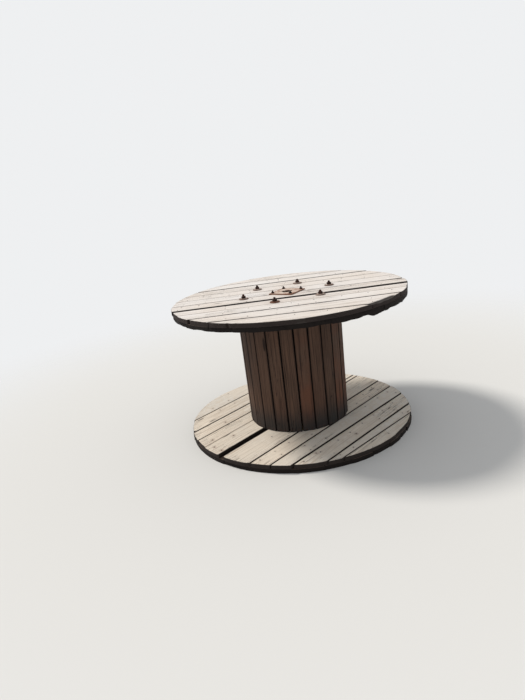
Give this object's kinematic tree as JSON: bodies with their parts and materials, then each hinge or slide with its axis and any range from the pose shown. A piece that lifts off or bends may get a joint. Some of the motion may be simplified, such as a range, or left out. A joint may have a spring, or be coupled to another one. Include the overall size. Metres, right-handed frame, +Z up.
{
  "type": "wooden cable drum",
  "caption": "Weathered wooden cable drum standing on its end, with two double boarded flanges, a stave barrel, tie bolts and arbor plates.",
  "frame": {"origin": "middle of the face that the drum stands on, on the floor", "axes": "+Z up the drum's axis, X along the boards that show on the top flange, -Y towards the picture's camera"},
  "size_m": [1.398, 1.399, 0.858],
  "materials": {
    "top_face_boards": "bare softwood, bleached by sun and rain",
    "bottom_flange_boards": "bare softwood, weathered",
    "cross_laid_boards": "bare softwood, dark and damp",
    "staves": "bare softwood, grey brown",
    "formers": "bare softwood, sheltered",
    "rusty_steel": "rusted all over"
  },
  "bodies": {
    "root": {"bottom_bearing_plate": "rusty_steel", "bottom_board_01": "bottom_flange_boards", "bottom_board_02": "bottom_flange_boards", "bottom_board_03": "bottom_flange_boards", "bottom_board_04": "bottom_flange_boards", "bottom_board_05": "bottom_flange_boards", "bottom_board_06": "bottom_flange_boards", "bottom_board_07": "bottom_flange_boards", "bottom_board_08": "bottom_flange_boards", "bottom_board_09": "bottom_flange_boards", "bottom_board_10": "bottom_flange_boards", "bottom_board_11": "bottom_flange_boards", "bottom_board_12": "bottom_flange_boards", "bottom_former": "formers", "bottom_outer_boards": "cross_laid_boards", "plate_bolts": "rusty_steel", "stave_01": "staves", "stave_02": "staves", "stave_03": "staves", "stave_04": "staves", "stave_05": "staves", "stave_06": "staves", "stave_07": "staves", "stave_08": "staves", "stave_09": "staves", "stave_10": "staves", "stave_11": "staves", "stave_12": "staves", "stave_13": "staves", "stave_14": "staves", "stave_15": "staves", "stave_16": "staves", "stave_17": "staves", "stave_18": "staves", "stave_19": "staves", "stave_20": "staves", "stave_21": "staves", "stave_22": "staves", "stave_23": "staves", "stave_24": "staves", "tie_bolts": "rusty_steel", "tie_nuts": "rusty_steel", "top_bearing_plate": "rusty_steel", "top_board_01": "top_face_boards", "top_board_02": "top_face_boards", "top_board_03": "top_face_boards", "top_board_04": "top_face_boards", "top_board_05": "top_face_boards", "top_board_06": "top_face_boards", "top_board_07": "top_face_boards", "top_board_08": "top_face_boards", "top_board_09": "top_face_boards", "top_board_10": "top_face_boards", "top_former": "formers", "top_inner_boards": "cross_laid_boards"}
  },
  "joints": []
}
